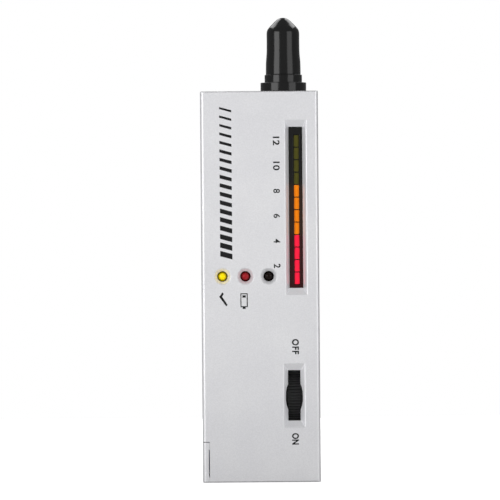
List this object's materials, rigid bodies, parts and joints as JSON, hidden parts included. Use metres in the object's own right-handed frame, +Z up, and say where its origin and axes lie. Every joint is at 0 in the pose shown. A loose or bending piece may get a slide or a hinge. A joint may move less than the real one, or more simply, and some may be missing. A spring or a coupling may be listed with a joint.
{
  "type": "diamond tester",
  "caption": "Pocket thermal probe tester: silver case with a lit bar, lamps, a side thumbwheel, a push-on probe cap and a sliding battery door.",
  "frame": {"origin": "centre of the base, on the lower edge of the case that it stands on", "axes": "+Z runs up the case towards the probe, +X points to the thumbwheel's side and -Y out of the face with the lamps"},
  "size_m": [0.039, 0.022, 0.1541],
  "materials": {
    "case": "moulded ABS with a satin silver-grey paint",
    "gloss_black": "glossy black moulded plastic",
    "satin_black": "satin black moulded plastic",
    "chip": "matt black moulding compound",
    "yellow_lens": "lit yellow epoxy lens",
    "red_lens": "unlit red epoxy lens",
    "dark_lens": "unlit dark epoxy lens",
    "olive_segment": "unlit diffused epoxy bar",
    "orange_segment": "lit orange diffused epoxy bar",
    "red_segment": "lit red diffused epoxy bar",
    "board": "glass-fibre board under green solder mask",
    "steel": "zinc-plated steel",
    "nickel": "bright nickel-plated metal",
    "copper": "polished copper",
    "white_plastic": "off-white heat-proof insulator",
    "blue_sleeve": "dark blue shrink sleeve",
    "blue_plastic": "blue moulded plastic",
    "tan_coat": "tan lacquered resistor body",
    "battery_can": "plain printed metal sleeve",
    "foam": "dark grey foam",
    "red_lead": "red flexible wire cover",
    "black_lead": "black flexible plastic",
    "white_lead": "white flexible wire cover"
  },
  "bodies": {
    "case": {"front_shell": "case", "rear_shell": "case", "probe_collar": "gloss_black", "probe_sleeve": "nickel", "probe_spring": "steel", "probe_end_plug": "white_plastic", "probe_lead_1": "white_lead", "probe_lead_2": "white_lead", "wheel_switch": "satin_black", "bar_display_housing": "satin_black", "bar_segment_01": "olive_segment", "bar_segment_02": "olive_segment", "bar_segment_03": "olive_segment", "bar_segment_04": "olive_segment", "bar_segment_05": "orange_segment", "bar_segment_06": "orange_segment", "bar_segment_07": "orange_segment", "bar_segment_08": "orange_segment", "bar_segment_09": "red_segment", "bar_segment_10": "red_segment", "bar_segment_11": "red_segment", "bar_segment_12": "red_segment", "ready_led": "yellow_lens", "low_battery_led": "red_lens", "metal_alert_led": "dark_lens", "main_board": "board", "driver_chip": "chip", "op_amp_chip": "chip", "buzzer": "satin_black", "capacitor_1": "blue_sleeve", "capacitor_2": "blue_sleeve", "trimmer_1": "blue_plastic", "trimmer_2": "blue_plastic", "transistor": "chip", "resistor_1": "tan_coat", "resistor_2": "tan_coat", "resistor_3": "tan_coat", "resistor_4": "tan_coat", "battery": "battery_can", "battery_snap": "black_lead", "red_lead": "red_lead", "black_lead": "black_lead", "touch_plate": "nickel", "touch_plate_lead": "white_lead", "case_screw_1": "steel", "case_screw_2": "steel", "case_screw_3": "steel", "board_screw_1": "steel", "board_screw_2": "steel"},
    "cap": {"probe_cap": "gloss_black"},
    "tip": {"probe_tip": "copper", "probe_heater": "white_plastic"},
    "wheel": {"thumbwheel": "satin_black", "wheel_shaft": "nickel", "wheel_screw": "steel"},
    "door": {"battery_door": "case", "battery_pad": "foam"}
  },
  "joints": [
    {"name": "cap_pull", "type": "slide", "parent": "case", "child": "cap", "axis": [0, 0, 1], "range_m": [0, 0.028]},
    {"name": "tip_press", "type": "slide", "parent": "case", "child": "tip", "axis": [0, 0, 1], "range_m": [-0.0015, 0], "stiffness_N_per_m": 200, "springref_m": 0.003, "deforming": ["probe_spring"]},
    {"name": "wheel_turn", "type": "hinge", "parent": "case", "child": "wheel", "pos_m": [0.01095, -0.001, 0.0282], "axis": [1, 0, 0], "range_deg": [-200, 100]},
    {"name": "door_slide", "type": "slide", "parent": "case", "child": "door", "axis": [-1, 0, 0], "range_m": [0, 0.03]}
  ]
}
